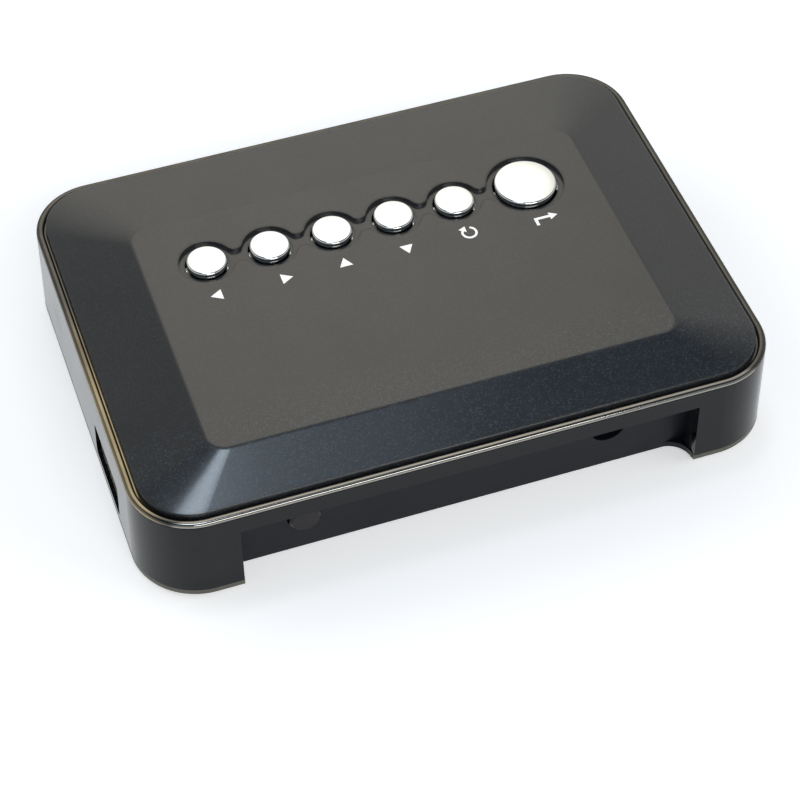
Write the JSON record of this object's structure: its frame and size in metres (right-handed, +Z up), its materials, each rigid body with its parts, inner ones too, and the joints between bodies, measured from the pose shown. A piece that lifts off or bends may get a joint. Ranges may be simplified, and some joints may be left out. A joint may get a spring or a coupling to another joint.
{
  "type": "media player",
  "caption": "Low rectangular media box with rounded corners, bevelled lid with a row of round push buttons, a rear cable recess with sockets and a side USB socket.",
  "frame": {"origin": "centre of the case outline, on the surface that the rubber feet stand on", "axes": "+Z up; +X along the length, towards the wall with the USB socket; the cable recess is at +Y and the front, from which the lid symbols read upright, faces -Y"},
  "size_m": [0.11, 0.081, 0.0216],
  "materials": {
    "lid_plastic": "dark grey-brown injection moulding under a fine metallic lacquer, satin to gloss",
    "trim_metal": "black nickel plated trim, bright highlights",
    "frame_plastic": "black piano-gloss injection moulding",
    "base_plastic": "dark olive-grey moulded base plate, fine texture",
    "cap_mirror": "bright plated button caps with mirror tops",
    "foot_rubber": "black rubber, matt",
    "screw_steel": "black-zinc steel, satin",
    "board_laminate": "green glass-fibre circuit board with solder mask",
    "chip_package": "black moulded epoxy, matt",
    "black_plastic": "black moulded connector plastic",
    "tongue_plastic": "off-white moulded plastic",
    "receiver_plastic": "dark violet infrared-passing epoxy, smooth",
    "socket_steel": "nickel-plated sheet steel",
    "contact_brass": "gold-plated contact metal",
    "sink_aluminium": "extruded aluminium, anodised",
    "can_aluminium": "drawn aluminium can",
    "pad_rubber": "soft grey-blue thermal pad",
    "cable_plastic": "white flat cable film"
  },
  "bodies": {
    "case": {"av_jack": "black_plastic", "board_screws": "screw_steel", "bottom_cover": "base_plastic", "case_screws": "screw_steel", "crystal": "socket_steel", "electrolytic_capacitors": "can_aluminium", "flash_chip": "chip_package", "flat_cable": "cable_plastic", "hdmi_insulator": "black_plastic", "hdmi_shell": "socket_steel", "heat_sink": "sink_aluminium", "infrared_receiver": "receiver_plastic", "key_board": "board_laminate", "key_board_screws": "screw_steel", "key_header": "tongue_plastic", "main_board": "board_laminate", "main_header": "tongue_plastic", "memory_chips": "chip_package", "power_inductor": "chip_package", "power_jack": "black_plastic", "power_jack_pin": "contact_brass", "processor": "chip_package", "receiver_leads": "socket_steel", "rubber_feet": "foot_rubber", "side_frame": "frame_plastic", "tact_switch_bodies": "black_plastic", "thermal_pad": "pad_rubber", "top_cover": "lid_plastic", "trim_ring": "trim_metal", "usb_contacts": "contact_brass", "usb_insulator": "tongue_plastic", "usb_shell": "socket_steel"},
    "button_confirm": {"cap_confirm": "cap_mirror", "plunger_confirm": "tongue_plastic"},
    "button_return": {"cap_return": "cap_mirror", "plunger_return": "tongue_plastic"},
    "button_up": {"cap_up": "cap_mirror", "plunger_up": "tongue_plastic"},
    "button_down": {"cap_down": "cap_mirror", "plunger_down": "tongue_plastic"},
    "button_left": {"cap_left": "cap_mirror", "plunger_left": "tongue_plastic"},
    "button_right": {"cap_right": "cap_mirror", "plunger_right": "tongue_plastic"}
  },
  "joints": [
    {"name": "press_confirm", "type": "slide", "parent": "case", "child": "button_confirm", "axis": [0, 0, -1], "range_m": [0, 0.0003], "stiffness_N_per_m": 5000},
    {"name": "press_return", "type": "slide", "parent": "case", "child": "button_return", "axis": [0, 0, -1], "range_m": [0, 0.0003], "stiffness_N_per_m": 5000},
    {"name": "press_up", "type": "slide", "parent": "case", "child": "button_up", "axis": [0, 0, -1], "range_m": [0, 0.0003], "stiffness_N_per_m": 5000},
    {"name": "press_down", "type": "slide", "parent": "case", "child": "button_down", "axis": [0, 0, -1], "range_m": [0, 0.0003], "stiffness_N_per_m": 5000},
    {"name": "press_left", "type": "slide", "parent": "case", "child": "button_left", "axis": [0, 0, -1], "range_m": [0, 0.0003], "stiffness_N_per_m": 5000},
    {"name": "press_right", "type": "slide", "parent": "case", "child": "button_right", "axis": [0, 0, -1], "range_m": [0, 0.0003], "stiffness_N_per_m": 5000}
  ]
}
